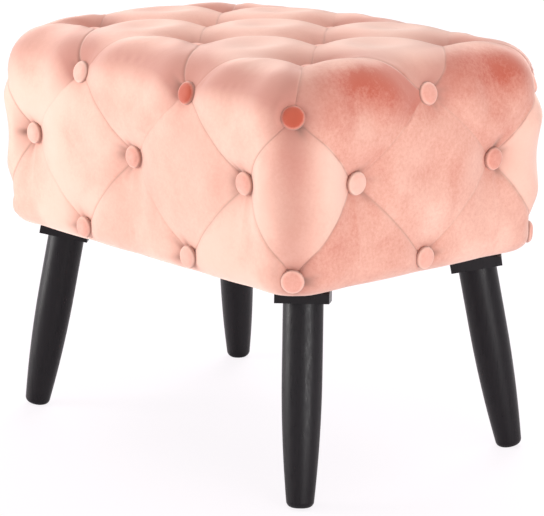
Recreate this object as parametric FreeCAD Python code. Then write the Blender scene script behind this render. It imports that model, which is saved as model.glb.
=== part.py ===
"""A button-tufted footstool: a padded plywood box on four splayed, turned legs.

Millimetres, +Z up, X along the seat, the floor at z = 0 and the origin under the middle of the seat.
"""
import FreeCAD, Part
import math
import os

V = FreeCAD.Vector
UP = V(0, 0, 1)

# Seat block, measured over the crowns of its padding
SEAT_LENGTH = 494.0
SEAT_WIDTH = 362.0
SEAT_TOP = 428.0
SEAT_UNDERSIDE = 208.0
EDGE_ROUND = 46.0
HEM_ROUND = 20.0
SIDE_LEAN = 3.0
TOP_CROWN = 8.0
TOP_CORNER_FALL = 9.0

# Places of the tufts: three pitches along the seat, two across, three rings down the sides
COLUMN_PITCH = 171.0
ROW_PITCH = 183.0
UPPER_RING_DROP = 39.5
LOWER_RING_RISE = 18.0
MIDDLE_RING_LIFT = 4.5
CORNER_TUFT_DROP = 4.5

# How far the tufts and the pleats between them lie under the crowns
TOP_TUFT_DEPTH = 20.0
EDGE_TUFT_DEPTH = 9.0
SIDE_TUFT_DEPTH = 12.0
HEM_TUFT_DEPTH = 10.0
HEM_FOLD_DEPTH = 6.0
CORNER_TUFT_DEPTH = 14.0
TOP_PLEAT_DEPTH = 8.0
EDGE_PLEAT_DEPTH = 4.0
SIDE_PLEAT_DEPTH = 3.0
FULLNESS = 0.8

# Covered buttons on square shanks driven into the frame
BUTTON_DIAMETER = 23.0
BUTTON_RIM = 2.5
BUTTON_DOME = 3.6
BUTTON_SEAT = 0.3
SHANK_SIDE = 2.4
SHANK_BITE = 9.0
SHANK_CLEARANCE = 0.2

# Padding and the plywood box inside it
PAD_SIDE = 27.0
PAD_TOP = 36.0
FOAM_THICKNESS = 8.0
PANEL_THICKNESS = 12.0
DECK_THICKNESS = 12.0
BOARD_THICKNESS = 17.0
POST_SIDE = 30.0
FRAME_CORNER_ROUND = 22.0
HEM_THICKNESS = 2.0
HEM_WIDTH = 22.0
DUST_COVER_THICKNESS = 1.0
DUST_COVER_MARGIN = 12.0

# Turned legs and the wedge plates that carry them
LEG_INSET_X = 54.0
LEG_INSET_Y = 63.5
SPLAY_ANGLE = 11.1
LEG_TOP_DIAMETER = 39.0
LEG_STRAIGHT = 66.0
LEG_FOOT_DIAMETER = 27.0
FOOT_ROUND = 6.5
FOOT_FLAT_CUT = 1.2
PLATE_SIDE = 52.0
PLATE_THICKNESS = 14.0

# Fixings
INSERT_DIAMETER = 11.0
INSERT_LENGTH = 11.0
BOLT_DIAMETER = 8.0
BOLT_IN_LEG = 30.0
BOLT_END_GAP = 1.0
THREAD_CLEARANCE = 0.1
SCREW_DIAMETER = 3.6
SCREW_HEAD_DIAMETER = 6.4
SCREW_HEAD_HEIGHT = 1.8
PLATE_SCREW_LENGTH = 28.0
PLATE_SCREW_INSET = 9.0
FRAME_SCREW_LENGTH = 40.0
SCREW_CLEARANCE = 0.1

# Worked out from the sizes above
UPPER_RING = SEAT_TOP - UPPER_RING_DROP
LOWER_RING = SEAT_UNDERSIDE + LOWER_RING_RISE
MIDDLE_RING = (UPPER_RING + LOWER_RING) / 2 + MIDDLE_RING_LIFT
PAD_X = SEAT_LENGTH / 2 - PAD_SIDE
PAD_Y = SEAT_WIDTH / 2 - PAD_SIDE
PAD_Z = SEAT_TOP - PAD_TOP
PANEL_X = PAD_X - FOAM_THICKNESS
PANEL_Y = PAD_Y - FOAM_THICKNESS
PANEL_TOP = PAD_Z - FOAM_THICKNESS
INNER_X = PANEL_X - PANEL_THICKNESS
INNER_Y = PANEL_Y - PANEL_THICKNESS
BOARD_TOP = SEAT_UNDERSIDE + BOARD_THICKNESS
HEM_TOP = SEAT_UNDERSIDE + HEM_THICKNESS
PLATE_TOP = SEAT_UNDERSIDE - DUST_COVER_THICKNESS
SPLAY = math.radians(SPLAY_ANGLE)

NET = 6
CORNERS = {
    "front_left": (-1, -1),
    "front_right": (1, -1),
    "back_left": (-1, 1),
    "back_right": (1, 1),
}


def clamp(value, limit):
    return max(-limit, min(limit, value))


def mix(a, b, t):
    return a + (b - a) * t


def smooth(t):
    """Blend from 0 to 1 that starts and ends level."""
    return t * t * (3 - 2 * t)


def slab(x0, x1, y0, y1, z0, z1):
    return Part.makeBox(x1 - x0, y1 - y0, z1 - z0, V(x0, y0, z0))


def centred_slab(half_x, half_y, z0, z1):
    return slab(-half_x, half_x, -half_y, half_y, z0, z1)


def rounded_slab(half_x, half_y, z0, z1):
    """Centred slab with the rounded upright corners of the padded frame."""
    blank = centred_slab(half_x, half_y, z0, z1)
    uprights = [e for e in blank.Edges if e.BoundBox.ZLength > (z1 - z0) / 2]
    return blank.makeFillet(FRAME_CORNER_ROUND, uprights)


def save(name, solids):
    """Write one node: a single solid, or a group of separate ones."""
    shape = Part.Compound(solids) if isinstance(solids, list) else solids
    shape.exportStep("parts/%s.step" % name)
    return shape


def block(p):
    """Point on the untufted padded block next to p, and the way out of the padding there."""
    lean = SIDE_LEAN * max(0.0, (UPPER_RING - p.z) / (UPPER_RING - LOWER_RING))
    half_x, half_y = SEAT_LENGTH / 2, SEAT_WIDTH / 2
    reach_x, reach_y = (p.x / half_x) ** 2, (p.y / half_y) ** 2
    top = SEAT_TOP - TOP_CROWN * (reach_x + reach_y) / 2 - TOP_CORNER_FALL * reach_x * reach_y
    core = V(clamp(p.x, half_x - lean - EDGE_ROUND), clamp(p.y, half_y - lean - EDGE_ROUND),
             min(p.z, top - EDGE_ROUND))
    outwards = (p - core).normalize()
    inset = HEM_ROUND * (1 - math.sqrt(1 - turned_under(p) ** 2))
    return core + outwards * (EDGE_ROUND - inset), outwards


def turned_under(p):
    """Sine of the angle that the cloth has turned under at the height of p: 0 on the sides, 1 at the hem."""
    return min(1.0, max(0.0, SEAT_UNDERSIDE + HEM_ROUND - p.z) / HEM_ROUND)


class Tuft:
    """A point of the tufting lattice; i and j count half pitches from the middle of the seat."""

    HEIGHT = {"top": SEAT_TOP, "upper": UPPER_RING, "middle": MIDDLE_RING, "lower": LOWER_RING,
              "hem": SEAT_UNDERSIDE}
    DEPTH = {"top": TOP_TUFT_DEPTH, "upper": EDGE_TUFT_DEPTH, "middle": SIDE_TUFT_DEPTH,
             "lower": HEM_TUFT_DEPTH, "hem": 0.0}

    def __init__(self, level, i, j):
        self.level, self.i, self.j = level, i, j
        self.at_corner = abs(i) == 3 and abs(j) == 2
        corner_inset = EDGE_ROUND * (1 - math.sqrt(0.5)) if self.at_corner else 0.0
        x, y, z = i * COLUMN_PITCH / 2, j * ROW_PITCH / 2, self.HEIGHT[level]
        if abs(i) == 3:
            x = math.copysign(SEAT_LENGTH / 2 - corner_inset, i)
        if level != "top" and abs(j) == 2:
            y = math.copysign(SEAT_WIDTH / 2 - corner_inset, j)
        self.depth = self.DEPTH[level]
        if self.at_corner and level in ("upper", "lower"):
            self.depth = CORNER_TUFT_DEPTH
        if self.at_corner and level == "upper":
            z -= CORNER_TUFT_DROP
        if level == "hem" and (i + j) % 2:
            self.depth = HEM_FOLD_DEPTH
        self.crown, self.outwards = block(V(x, y, z))
        self.seat = self.crown - self.outwards * self.depth
        self.facing = (self.outwards - UP * turned_under(self.crown) / 2).normalize()


def pleat_depth(a, b):
    """Depth of the pleat halfway between two tufts."""
    levels = {a.level, b.level}
    if levels == {"top"}:
        return TOP_PLEAT_DEPTH
    if "top" in levels:
        return EDGE_PLEAT_DEPTH
    return SIDE_PLEAT_DEPTH


def along_rim(a, b, t):
    """Depth at t from tuft a to tuft b: level at both, and on a pleat shallowest halfway."""
    if b.level == "hem":
        return mix(a.depth, b.depth, smooth(t))
    near_button = (1 + math.cos(2 * math.pi * t)) / 2
    return mix(pleat_depth(a, b), mix(a.depth, b.depth, t), near_button)


def panel(a, b, c, d, half=False):
    """Puffed cloth between four tufts taken round, with its rims on the pleats a-b, b-c, d-c and a-d.

    A half panel reaches from a pleat to the middle line b-c of a lower panel, and down to the hem.
    """
    rise = 0.5 if half else 1.0
    poles = []
    for row in range(NET + 1):
        u = row / NET
        poles.append([])
        for column in range(NET + 1):
            v = column / NET
            chord = mix(mix(a.crown, b.crown, u), mix(d.crown, c.crown, u), v)
            crown, outwards = block(chord)
            su, sv = smooth(u), smooth(v)
            rims = mix(along_rim(a, b, u), along_rim(d, c, u), sv)
            rims += mix(along_rim(a, d, v), along_rim(b, c, v), su)
            rims -= mix(mix(a.depth, b.depth, su), mix(d.depth, c.depth, su), sv)
            swell = math.sin(math.pi * rise * u) * math.sin(math.pi * rise * v)
            poles[row].append(crown - outwards * rims * (1 - max(0.0, swell) ** FULLNESS))
    knots = list(range(NET - 1))
    mults = [4] + [1] * (NET - 3) + [4]
    surface = Part.BSplineSurface()
    surface.buildFromPolesMultsKnots(poles, mults, mults, knots, knots, False, False, 3, 3)
    return surface.toShape()


def perimeter():
    """Half-pitch counts of the 20 stations round the seat; buttons at even ones, middle ring at odd."""
    front = [(i, -2) for i in range(-3, 3)]
    right = [(3, j) for j in range(-2, 2)]
    back = [(i, 2) for i in range(3, -3, -1)]
    left = [(-3, j) for j in range(2, -2, -1)]
    return front + right + back + left


def lattice():
    """All tufts by level and place, with the hem points under the sides."""
    tufts = {}
    for step, (i, j) in enumerate(perimeter()):
        for level in ("middle",) if step % 2 else ("upper", "lower"):
            tufts[level, i, j] = Tuft(level, i, j)
        tufts["hem", i, j] = Tuft("hem", i, j)
    for i in range(-2, 3):
        for j in range(-1, 2):
            if (i + j) % 2:
                tufts["top", i, j] = Tuft("top", i, j)
    return tufts


def tufted_skin(tufts):
    """Solid inside the tufted outer surface, before the frame's space is cut from it."""
    def on_top(i, j):
        return tufts.get(("top", i, j)) or tufts["upper", i, j]

    faces = []
    for i in range(-2, 3):
        for j in range(-1, 2):
            if (i + j) % 2 == 0:
                faces.append(panel(on_top(i - 1, j), on_top(i, j - 1), on_top(i + 1, j), on_top(i, j + 1)))
    stations = perimeter()
    count = len(stations)
    for step, here in enumerate(stations):
        before, after = stations[step - 1], stations[(step + 1) % count]
        if step % 2:
            inward = (clamp(here[0], 2), clamp(here[1], 1))
            middle = tufts[("middle",) + here]
            left, right = tufts[("upper",) + before], tufts[("upper",) + after]
            faces.append(panel(left, middle, right, tufts[("top",) + inward]))
            for side in (before, after):
                lower, hem = tufts[("lower",) + side], tufts[("hem",) + side]
                faces.append(panel(lower, middle, tufts[("hem",) + here], hem, half=True))
        else:
            left, right = tufts[("middle",) + before], tufts[("middle",) + after]
            faces.append(panel(left, tufts[("lower",) + here], right, tufts[("upper",) + here]))
    hem_edges = [e for f in faces for e in f.Edges
                 if abs(e.BoundBox.ZMin - SEAT_UNDERSIDE) < 1e-6 and e.BoundBox.ZLength < 1e-6]
    faces.append(Part.Face(Part.Wire(Part.__sortEdges__(hem_edges))))
    return Part.Solid(Part.Shell(faces))


def button():
    """Covered button, its flat back on z = 0 and its dome towards +Z."""
    r = BUTTON_DIAMETER / 2
    crown = BUTTON_RIM + BUTTON_DOME
    sphere = (r ** 2 + BUTTON_DOME ** 2) / (2 * BUTTON_DOME)
    half_way = math.asin(r / sphere) / 2
    dome_point = V(sphere * math.sin(half_way), 0, crown - sphere * (1 - math.cos(half_way)))
    rim_top, back, middle, top = V(r, 0, BUTTON_RIM), V(r, 0, 0), V(0, 0, 0), V(0, 0, crown)
    outline = [Part.makeLine(middle, back), Part.makeLine(back, rim_top),
               Part.Arc(rim_top, dome_point, top).toShape(), Part.makeLine(top, middle)]
    return Part.Face(Part.Wire(outline)).revolve(V(0, 0, 0), UP, 360)


def placed(shape, point, direction):
    """Copy of a shape with its origin moved to a point and its +Z turned to a direction."""
    copy = shape.copy()
    copy.Placement = FreeCAD.Placement(point, FreeCAD.Rotation(UP, direction))
    return copy


def seat_buttons(tufts, skin):
    """Give each tuft the point where its button's back lies, just clear of the cloth round it."""
    lifts = {}
    for tuft in tufts:
        alike = tuft.level, abs(tuft.i), abs(tuft.j)
        if alike not in lifts:
            column = Part.makeCylinder(BUTTON_DIAMETER / 2, 2 * TOP_TUFT_DEPTH, V(0, 0, -TOP_TUFT_DEPTH))
            local = skin.copy()
            local.Placement = FreeCAD.Placement(tuft.seat, FreeCAD.Rotation(UP, tuft.facing)).inverse()
            lifts[alike] = column.common(local).optimalBoundingBox().ZMax + BUTTON_SEAT
        tuft.back = tuft.seat + tuft.facing * lifts[alike]


def shank(tuft, clearance=0.0):
    """Square shank from a button's back into the wood behind it, or the hole for one."""
    start, way = tuft.back, tuft.facing
    if tuft.level == "top":
        reach = start.z - PANEL_TOP
    else:
        to_x = (abs(start.x) - PANEL_X) / abs(way.x) if abs(tuft.i) == 3 else 0.0
        to_y = (abs(start.y) - PANEL_Y) / abs(way.y) if abs(tuft.j) == 2 else 0.0
        reach = max(to_x, to_y)
    length = reach + SHANK_BITE + clearance
    half = SHANK_SIDE / 2 + clearance
    return placed(centred_slab(half, half, -length, 0), start, way)


def screw(length, clearance=0.0):
    """Countersunk screw pointing up +Z with its head flush at z = 0, or the hole for one."""
    head, stem = SCREW_HEAD_DIAMETER / 2 + clearance, SCREW_DIAMETER / 2 + clearance
    cone = Part.makeCone(head, stem, SCREW_HEAD_HEIGHT)
    return cone.fuse(Part.makeCylinder(stem, length + clearance)).removeSplitter()


def frame_screws(clearance=0.0):
    """Screws through the board and through the deck into each corner post."""
    screws = []
    for sx, sy in CORNERS.values():
        x, y = sx * (INNER_X - POST_SIDE / 2), sy * (INNER_Y - POST_SIDE / 2)
        screws.append(placed(screw(FRAME_SCREW_LENGTH, clearance), V(x, y, SEAT_UNDERSIDE), UP))
        screws.append(placed(screw(FRAME_SCREW_LENGTH, clearance), V(x, y, PANEL_TOP), -UP))
    return screws


def leg_frame(sx, sy):
    """Placement of one leg: its top at the origin, its axis down -Z, local +X outwards."""
    top = V(sx * (SEAT_LENGTH / 2 - LEG_INSET_X), sy * (SEAT_WIDTH / 2 - LEG_INSET_Y),
            PLATE_TOP - PLATE_THICKNESS)
    heading = math.degrees(math.atan2(sy, sx))
    turn = FreeCAD.Rotation(UP, heading) * FreeCAD.Rotation(V(0, 1, 0), -SPLAY_ANGLE)
    return FreeCAD.Placement(top, turn)


def seen_from(frame, shape):
    """Copy of a shape carried from a leg's own axes to the stool's."""
    copy = shape.copy()
    copy.Placement = frame
    return copy


def leg_length():
    """Length that brings the rounded foot just below the floor, where it is cut level."""
    end_radius = LEG_FOOT_DIAMETER / 2 - FOOT_ROUND
    drop = PLATE_TOP - PLATE_THICKNESS + FOOT_FLAT_CUT - FOOT_ROUND - end_radius * math.sin(SPLAY)
    return drop / math.cos(SPLAY) + FOOT_ROUND


def leg(frame):
    """Turned leg: straight below the plate, then swept in to a rounded foot cut level with the floor."""
    length = leg_length()
    top, foot = LEG_TOP_DIAMETER / 2, LEG_FOOT_DIAMETER / 2
    shoulder, end = length - FOOT_ROUND, foot - FOOT_ROUND
    sweep = shoulder - LEG_STRAIGHT
    sweep_radius = ((top - foot) ** 2 + sweep ** 2) / (2 * (top - foot))
    half_turn = math.asin(sweep / sweep_radius) / 2
    sweep_point = V(top - sweep_radius * (1 - math.cos(half_turn)), 0,
                    -LEG_STRAIGHT - sweep_radius * math.sin(half_turn))
    round_point = V(end + FOOT_ROUND * math.sqrt(0.5), 0, -shoulder - FOOT_ROUND * math.sqrt(0.5))
    axis_top, rim, waist = V(0, 0, 0), V(top, 0, 0), V(top, 0, -LEG_STRAIGHT)
    ankle, sole, axis_end = V(foot, 0, -shoulder), V(end, 0, -length), V(0, 0, -length)
    outline = [
        Part.makeLine(axis_top, rim),
        Part.makeLine(rim, waist),
        Part.Arc(waist, sweep_point, ankle).toShape(),
        Part.Arc(ankle, round_point, sole).toShape(),
        Part.makeLine(sole, axis_end),
        Part.makeLine(axis_end, axis_top),
    ]
    turned = Part.Face(Part.Wire(outline)).revolve(V(0, 0, 0), UP, 360)
    bolt_hole = Part.makeCylinder(BOLT_DIAMETER / 2, BOLT_IN_LEG, V(0, 0, -BOLT_IN_LEG))
    turned = seen_from(frame, turned.cut(bolt_hole))
    floor = centred_slab(SEAT_LENGTH, SEAT_WIDTH, -length, 0)
    return turned.cut(floor)


def plate_screw_places():
    reach = PLATE_SIDE / 2 - PLATE_SCREW_INSET
    return [V(x, y, 0) for x in (-reach, reach) for y in (-reach, reach)]


def plate_screws(frame, clearance=0.0):
    """Four corner screws of one plate, square to its underside, or the holes for them."""
    places = [FreeCAD.Placement(place, FreeCAD.Rotation()) for place in plate_screw_places()]
    return [seen_from(frame * place, screw(PLATE_SCREW_LENGTH, clearance)) for place in places]


def leg_plate(frame):
    """Wedge: underside square to the leg, top level against the seat."""
    half = PLATE_SIDE / 2
    blank = seen_from(frame, centred_slab(half, half, 0, 3 * PLATE_THICKNESS))
    level = centred_slab(SEAT_LENGTH, SEAT_WIDTH, PLATE_TOP, SEAT_TOP)
    bore = seen_from(frame, Part.makeCylinder(INSERT_DIAMETER / 2, INSERT_LENGTH))
    return blank.cut([level, bore] + plate_screws(frame, SCREW_CLEARANCE))


def plate_insert(frame):
    """Threaded insert let into the underside of a plate."""
    body = Part.makeCylinder(INSERT_DIAMETER / 2, INSERT_LENGTH)
    return seen_from(frame, body.cut(Part.makeCylinder(BOLT_DIAMETER / 2, INSERT_LENGTH)))


def hanger_bolt(frame):
    """Bolt from inside the leg up into the plate's insert."""
    length = BOLT_IN_LEG + INSERT_LENGTH - BOLT_END_GAP
    radius = BOLT_DIAMETER / 2 - THREAD_CLEARANCE
    return seen_from(frame, Part.makeCylinder(radius, length, V(0, 0, -BOLT_IN_LEG)))


def seat_padding(skin, shank_holes, plate_screw_holes):
    """Tufted velvet cover on its wadding, and the foam between it and the box."""
    cavity = rounded_slab(PAD_X, PAD_Y, HEM_TOP, PAD_Z)
    opening = centred_slab(PAD_X - HEM_WIDTH, PAD_Y - HEM_WIDTH, SEAT_UNDERSIDE - HEM_THICKNESS, HEM_TOP)
    save("velvet_cover", skin.cut([cavity, opening] + shank_holes + plate_screw_holes))
    save("top_foam", rounded_slab(PAD_X, PAD_Y, PANEL_TOP, PAD_Z).cut(shank_holes))
    outside = rounded_slab(PAD_X, PAD_Y, BOARD_TOP, PANEL_TOP)
    slabs = {
        "front": slab(-PAD_X, PAD_X, -PAD_Y, -PANEL_Y, BOARD_TOP, PANEL_TOP),
        "back": slab(-PAD_X, PAD_X, PANEL_Y, PAD_Y, BOARD_TOP, PANEL_TOP),
        "left": slab(-PAD_X, -PANEL_X, -PANEL_Y, PANEL_Y, BOARD_TOP, PANEL_TOP),
        "right": slab(PANEL_X, PAD_X, -PANEL_Y, PANEL_Y, BOARD_TOP, PANEL_TOP),
    }
    for side, foam in slabs.items():
        save(side + "_foam", foam.common(outside).cut(shank_holes))


def buttons(buttoned):
    """The four groups of covered buttons, and the shanks behind them."""
    covered = button()
    groups = {"top": "top_buttons", "upper": "upper_edge_buttons", "middle": "side_buttons",
              "lower": "lower_edge_buttons"}
    for level, name in groups.items():
        save(name, [placed(covered, t.back, t.facing) for t in buttoned if t.level == level])
    save("button_shanks", [shank(t) for t in buttoned])


def plywood_box(shank_holes, plate_screw_holes):
    """Walls, deck, base board and corner posts of the frame, with the screws that hold them."""
    screw_holes = frame_screws(SCREW_CLEARANCE)
    deck_under = PANEL_TOP - DECK_THICKNESS
    walls = {
        "front": slab(-PANEL_X, PANEL_X, -PANEL_Y, -INNER_Y, BOARD_TOP, PANEL_TOP),
        "back": slab(-PANEL_X, PANEL_X, INNER_Y, PANEL_Y, BOARD_TOP, PANEL_TOP),
        "left": slab(-PANEL_X, -INNER_X, -INNER_Y, INNER_Y, BOARD_TOP, PANEL_TOP),
        "right": slab(INNER_X, PANEL_X, -INNER_Y, INNER_Y, BOARD_TOP, PANEL_TOP),
    }
    for side, wall in walls.items():
        save(side + "_panel", wall.cut(shank_holes))
    deck = centred_slab(INNER_X, INNER_Y, deck_under, PANEL_TOP)
    save("deck_panel", deck.cut(shank_holes + screw_holes))
    rebated = centred_slab(PAD_X - HEM_WIDTH, PAD_Y - HEM_WIDTH, SEAT_UNDERSIDE, HEM_TOP)
    board = rounded_slab(PAD_X, PAD_Y, HEM_TOP, BOARD_TOP).fuse(rebated)
    save("base_board", board.cut(shank_holes + plate_screw_holes + screw_holes))
    half = POST_SIDE / 2
    for name, (sx, sy) in CORNERS.items():
        x, y = sx * (INNER_X - half), sy * (INNER_Y - half)
        post = slab(x - half, x + half, y - half, y + half, BOARD_TOP, deck_under)
        save("corner_post_" + name, post.cut(screw_holes))
    save("frame_screws", frame_screws())
    dust = centred_slab(PAD_X - DUST_COVER_MARGIN, PAD_Y - DUST_COVER_MARGIN, PLATE_TOP, SEAT_UNDERSIDE)
    save("dust_cover", dust.cut(plate_screw_holes))


def legs(frames):
    """Each leg with its plate, and the groups of fixings that hold them to the seat."""
    for name, frame in frames.items():
        save("leg_plate_" + name, leg_plate(frame))
        save("leg_" + name, leg(frame))
    save("leg_plate_screws", [s for f in frames.values() for s in plate_screws(f)])
    save("leg_plate_inserts", [plate_insert(f) for f in frames.values()])
    save("hanger_bolts", [hanger_bolt(f) for f in frames.values()])


def main():
    os.makedirs("parts", exist_ok=True)
    tufts = lattice()
    buttoned = [t for t in tufts.values() if t.level != "hem"]
    skin = tufted_skin(tufts)
    seat_buttons(buttoned, skin)
    shank_holes = [shank(t, SHANK_CLEARANCE) for t in buttoned]
    leg_frames = {name: leg_frame(sx, sy) for name, (sx, sy) in CORNERS.items()}
    plate_screw_holes = [h for f in leg_frames.values() for h in plate_screws(f, SCREW_CLEARANCE)]
    seat_padding(skin, shank_holes, plate_screw_holes)
    buttons(buttoned)
    plywood_box(shank_holes, plate_screw_holes)
    legs(leg_frames)


main()
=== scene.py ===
"""A button-tufted velvet footstool: its cloth, buttons and finishes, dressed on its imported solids."""
import math
from contextlib import contextmanager

import bmesh
import bpy
import numpy as np
from bpy.props import FloatProperty, FloatVectorProperty, IntProperty, PointerProperty
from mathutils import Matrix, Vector


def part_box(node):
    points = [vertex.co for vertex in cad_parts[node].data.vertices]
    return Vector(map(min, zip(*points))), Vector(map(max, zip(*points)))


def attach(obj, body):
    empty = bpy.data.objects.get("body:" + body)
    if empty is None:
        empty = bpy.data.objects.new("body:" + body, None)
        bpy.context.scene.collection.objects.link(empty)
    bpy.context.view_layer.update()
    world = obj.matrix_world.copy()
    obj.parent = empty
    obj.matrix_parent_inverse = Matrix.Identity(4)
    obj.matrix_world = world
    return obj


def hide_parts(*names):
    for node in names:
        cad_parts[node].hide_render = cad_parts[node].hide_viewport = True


bl_info = {
    "name": "Tufted Footstool",
    "version": (1, 0, 0),
    "blender": (4, 5, 0),
    "location": "View3D > Sidebar > Footstool",
    "description": "Dresses a tufted footstool: velvet, covered buttons, lacquered legs and a studio",
    "category": "Object",
}

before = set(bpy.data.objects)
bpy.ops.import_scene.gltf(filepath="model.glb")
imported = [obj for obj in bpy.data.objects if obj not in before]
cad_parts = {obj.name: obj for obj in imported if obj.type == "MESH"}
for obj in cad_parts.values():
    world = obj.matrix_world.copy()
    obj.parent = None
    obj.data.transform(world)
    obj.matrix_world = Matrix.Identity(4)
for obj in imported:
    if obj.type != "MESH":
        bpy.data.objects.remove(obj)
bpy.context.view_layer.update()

MM = 0.001
BODY = "root"
SEED = 7
BUTTON_NODES = {"top": "top_buttons", "upper": "upper_edge_buttons", "middle": "side_buttons",
                "lower": "lower_edge_buttons"}
# Tone of the pile on the buttons named here, partly the pile's lean and partly painted light, most of all
# painted shade on the two deep buttons at the front upper edge; other buttons differ a little at random
BUTTON_TONES = {("upper", 3, -2): -1.1, ("upper", 1, -2): -1.1, ("upper", 3, 0): -0.2, ("middle", 3, 1): -0.5,
                ("middle", 3, -1): 0.3, ("lower", 3, -2): -0.15, ("lower", 3, 0): 0.1}
BUTTON_RADIUS, BUTTON_HEIGHT = 11.5 * MM, 6.1 * MM
FOAM_NODES = ("top_foam", "front_foam", "back_foam", "left_foam", "right_foam")
LONG_BOARDS = ("front_panel", "back_panel", "deck_panel", "base_board")
SHORT_BOARDS = ("left_panel", "right_panel")
CORNERS = ("front_left", "front_right", "back_left", "back_right")
STEEL_NODES = ("button_shanks", "frame_screws", "leg_plate_screws", "leg_plate_inserts", "hanger_bolts")
FILLING_STEPS = 20
CLOTH_SETTINGS = {"quality": 6, "mass": 0.3, "tension_stiffness": 8, "compression_stiffness": 4,
                  "shear_stiffness": 3, "bending_stiffness": 0.3, "shrink_min": -0.03, "use_pressure": True,
                  "uniform_pressure_force": 4, "vertex_group_mass": "pleats"}
ON_PLEAT, HELD_BY_BUTTON = 0.05 * MM, 15 * MM
SHEET_WELD, SOLID_WELD = 0.02 * MM, 0.005 * MM
PLEAT_SHARPNESS = 0.75
CREASES_PER_BUTTON, CREASE_RUN, CREASE_SPREAD = 6, (10, 26), 1.4
RUFFLE, RUFFLE_ON_END = 0.45, 0.75
# Half pitches from the middle of the seat to its ends and to its long sides
END, SIDE = 3, 2
# How clearly each kind of pleat shows as a line, both in the depth of its groove and in the painted shade
# along it
LINES = {"hem": 0.1, "top": 0.6, "corner": 0.55, "end edge": 0.5, "drawn edge": 0.8, "slack edge": 0.1,
         "drawn side": 0.5, "slack side": 0.16}
SEAT_MIDDLE = Vector((0, 0, 0.3))


def linear(code):
    """Linear colour of an sRGB hex value."""
    channels = [int(code[k:k + 2], 16) / 255 for k in (1, 3, 5)]
    return tuple(c / 12.92 if c <= 0.04045 else ((c + 0.055) / 1.055) ** 2.4 for c in channels)


def number(name, description, default, **more):
    """Property that holds one number."""
    return FloatProperty(name=name, description=description, default=default, **more)


def length(name, description, size):
    """Length property with its default in millimetres."""
    return number(name, description, size * MM, unit="LENGTH", precision=4)


def count(name, description, default):
    """Property that counts faces."""
    return IntProperty(name=name, description=description, default=default, min=6, max=40)


def colour(name, description, code):
    """Colour property with its default as an sRGB hex value."""
    return FloatVectorProperty(name=name, description=description, default=linear(code), subtype="COLOR",
                               min=0.0, max=1.0)


class FootstoolSeat(bpy.types.PropertyGroup):
    """Sizes of the tufted seat."""

    length: length("Length", "Seat length over the crowns of its padding", 494)
    width: length("Width", "Seat width over the crowns of its padding", 362)
    top: length("Top", "Height of the highest crown", 428)
    underside: length("Underside", "Height of the turned-under hem", 208)
    edge_round: length("Edge rounding", "Radius of the padded edges and corners", 46)
    hem_round: length("Hem rounding", "Radius at which the cloth turns under", 20)
    side_lean: length("Side lean", "How far the sides draw in from the upper to the lower ring", 3)
    top_crown: length("Top crown", "How far the top falls from its middle to its corners by its crown", 8)
    corner_fall: length("Corner fall", "How much further the top falls at its corners", 9)
    column_pitch: length("Column pitch", "Distance between tufts along the seat", 171)
    row_pitch: length("Row pitch", "Distance between tufts across the seat", 183)
    upper_drop: length("Upper ring drop", "From the top down to the upper ring of buttons", 39.5)
    lower_rise: length("Lower ring rise", "From the underside up to the lower ring of buttons", 18)
    middle_lift: length("Middle ring lift", "Middle ring above half way between the other two", 4.5)
    corner_drop: length("Corner drop", "Upper corner buttons below their ring", 4.5)
    top_tuft: length("Top tuft", "Depth of the tufts on top", 20)
    edge_tuft: length("Edge tuft", "Depth of the upper ring's tufts", 9)
    side_tuft: length("Side tuft", "Depth of the middle ring's tufts", 12)
    hem_tuft: length("Hem tuft", "Depth of the lower ring's tufts", 10)
    hem_fold: length("Hem fold", "How far the hem is drawn in under a lower tuft", 6)
    corner_tuft: length("Corner tuft", "Depth of the tufts at the corners", 14)
    top_pleat: length("Top pleat", "Depth of the pleats on top, half way", 4)
    edge_pleat: length("Edge pleat", "Depth of the pleats over the upper edge, half way", 1.5)
    edge_bow: length("Edge bow", "How far the drawn pleats over the long edges bow along the seat", 15)
    side_pleat: length("Side pleat", "Depth of the pleats on the sides, half way", 2)
    dip_narrowness: number("Dip narrowness", "Higher draws the cloth down closer to the buttons", 1.6)
    slack: length("Slack", "How far the cloth lies under its crowns before it is filled", 4)
    top_fill: length("Top fill", "Most that the filling lifts the cloth on top", 4)
    side_fill: length("Side fill", "Most that the filling lifts the cloth on the sides", 3)
    fill_reach: length("Fill reach", "Distance from a pleat over which the filling comes to lift", 24)
    # The greyer dip is painted shade in the cloth's colour
    dip_shade_reach: length("Dip reach", "Half width of the greyer dip along a pleat over the upper edge", 24)
    top_fullness: number("Top fullness", "Lower is squarer and fuller, on top", 0.85)
    side_fullness: number("Side fullness", "Lower is squarer and fuller, on the sides", 1.0)
    groove_depth: length("Pleat groove depth", "Depth of the tucked line along a pleat", 0.9)
    groove_width: length("Pleat groove width", "Half width of the tucked line along a pleat", 1.0)
    crease_depth: length("Crease depth", "Depth of the short creases beside the buttons", 1.8)
    rows: count("Rows", "Faces along one side of a diamond", 22)
    hem_rows: count("Hem rows", "Faces from a lower pleat to the hem", 14)


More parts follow.
